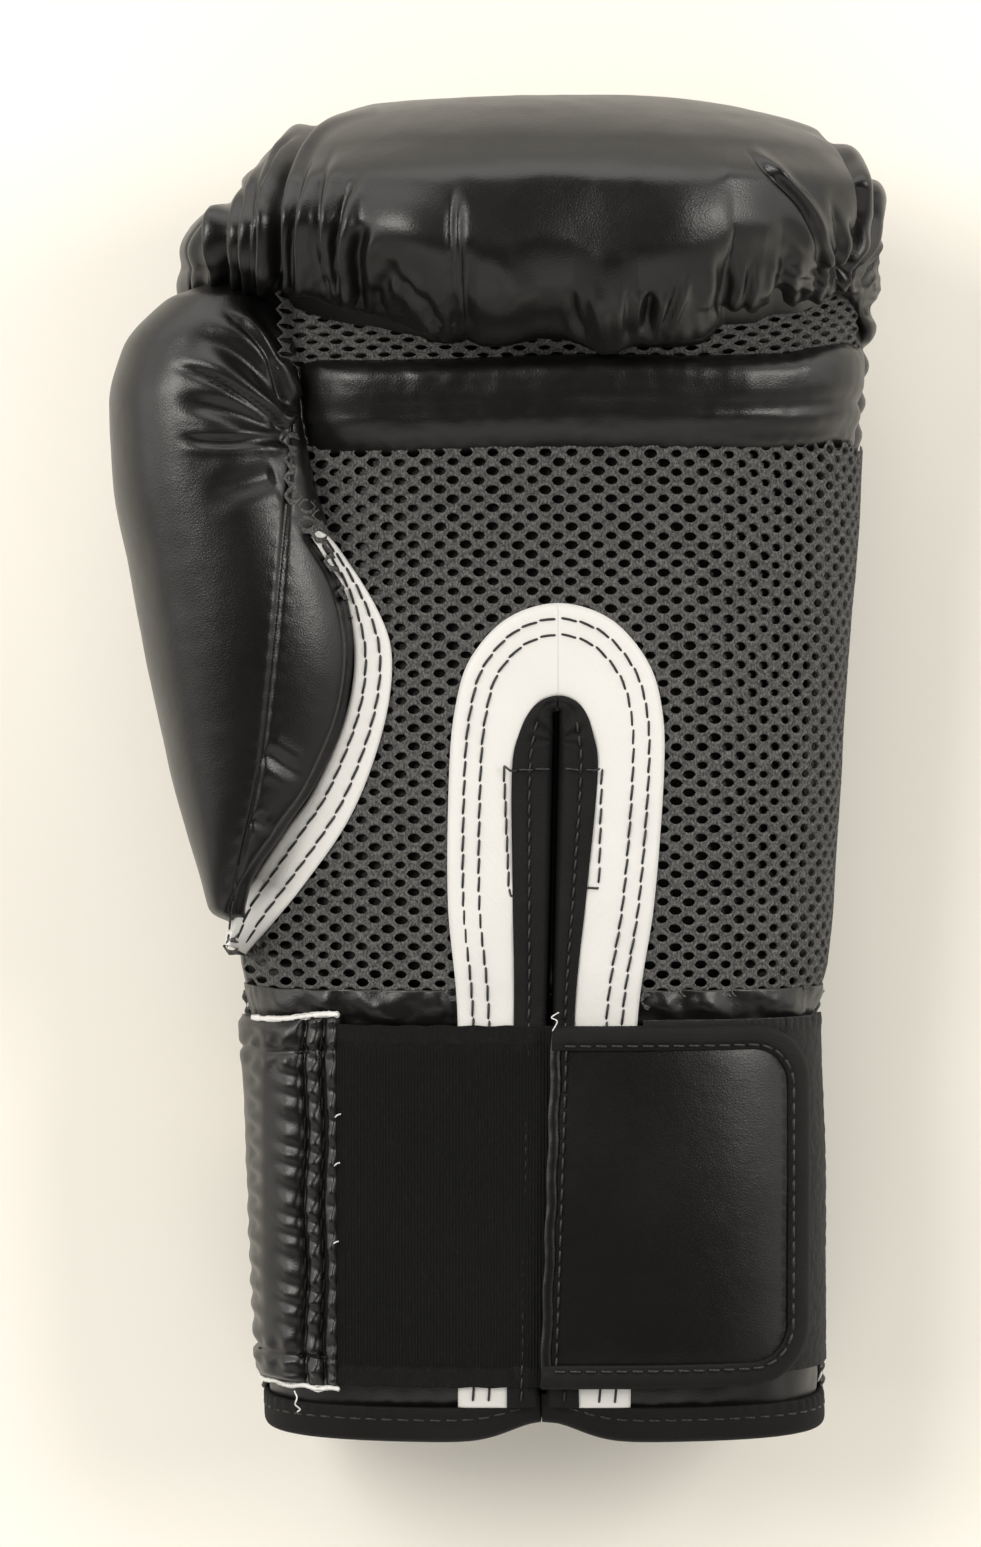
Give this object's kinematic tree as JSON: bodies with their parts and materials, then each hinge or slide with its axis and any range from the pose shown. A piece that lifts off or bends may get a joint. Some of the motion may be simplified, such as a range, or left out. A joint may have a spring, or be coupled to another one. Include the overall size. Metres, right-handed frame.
{
  "type": "boxing glove",
  "caption": "Padded boxing glove with curled finger end, grip bar, mesh palm, thumb, and a cuff closed by an elastic hook-and-loop wrist strap.",
  "frame": {"origin": "centre of the bounding box in plan, at the lowest point, the flat of the back that it lies on", "axes": "+Y from the cuff to the finger tips, +Z out of the palm, thumb on the -X side"},
  "size_m": [0.166, 0.2914, 0.1175],
  "materials": {
    "black_leather": "glossy grained imitation leather",
    "black_binding": "matte woven bias tape and black thread",
    "air_mesh": "dark grey three-dimensional spacer mesh",
    "white_leather": "smooth white imitation leather with cut edges",
    "elastic": "finely ribbed black elastic webbing",
    "loop_pile": "fuzzy black loop tape",
    "hook_tape": "black hook tape",
    "lining": "satin lining",
    "foam": "closed-cell padding foam",
    "badge": "cream moulded badge, blank"
  },
  "bodies": {
    "glove": {"back_panel": "black_leather", "fist_shell": "black_leather", "palm_mesh_panel": "air_mesh", "finger_mesh_strip": "air_mesh", "grip_bar_cover": "black_leather", "grip_bar_core": "foam", "thumb_strip": "white_leather", "thumb_inner_panel": "black_leather", "palm_patch": "white_leather", "slit_binding_top": "black_binding", "back_foam": "foam", "side_foam_left": "foam", "side_foam_right": "foam", "palm_foam": "foam", "finger_foam": "foam", "knuckle_foam": "foam", "hand_lining": "lining", "cuff_back_shell": "black_leather", "cuff_back_padding": "foam", "cuff_back_lining": "lining", "hem_binding_back": "black_binding", "cuff_badge": "badge"},
    "thumb": {"thumb_shell": "black_leather", "thumb_foam": "foam", "thumb_lining": "lining"},
    "cuff_left": {"cuff_left_shell": "black_leather", "cuff_left_padding": "foam", "cuff_left_lining": "lining", "hem_binding_left": "black_binding", "palm_patch_left_leg": "white_leather", "slit_binding_left": "black_binding", "strap_anchor_patch": "black_leather"},
    "cuff_right": {"cuff_right_shell": "black_leather", "cuff_right_padding": "foam", "cuff_right_lining": "lining", "hem_binding_right": "black_binding", "palm_patch_right_leg": "white_leather", "slit_binding_right": "black_binding", "loop_panel": "loop_pile"},
    "strap": {"strap_elastic": "elastic"},
    "tab": {"tab_face": "black_leather", "tab_backing": "black_leather", "tab_binding": "black_binding", "hook_patch": "hook_tape"}
  },
  "joints": [
    {"name": "thumb_swing", "type": "hinge", "parent": "glove", "child": "thumb", "pos_m": [-0.05085, 0.0173, 0.08975], "axis": [0.125, 0.9902, 0.0629], "range_deg": [0, 12], "stiffness_Nm_per_rad": 0.4},
    {"name": "cuff_left_open", "type": "hinge", "parent": "glove", "child": "cuff_left", "pos_m": [-0.0566, -0.0957, 0.03985], "axis": [0, -1, 0], "range_deg": [0, 20]},
    {"name": "cuff_right_open", "type": "hinge", "parent": "glove", "child": "cuff_right", "pos_m": [0.0722, -0.0957, 0.03985], "axis": [0, 1, 0], "range_deg": [0, 20]},
    {"name": "strap_lift", "type": "hinge", "parent": "cuff_left", "child": "strap", "pos_m": [-0.03515, -0.0937, 0.0742], "axis": [0, -1, 0], "range_deg": [0, 100]},
    {"name": "tab_lift", "type": "hinge", "parent": "strap", "child": "tab", "pos_m": [0.0109, -0.0937, 0.0792], "axis": [0, -1, 0], "range_deg": [0, 120]}
  ],
  "couplings": [
    {"joint": "cuff_left_open", "follows": "strap_lift", "ratio": 0.2},
    {"joint": "cuff_right_open", "follows": "strap_lift", "ratio": 0.2}
  ]
}
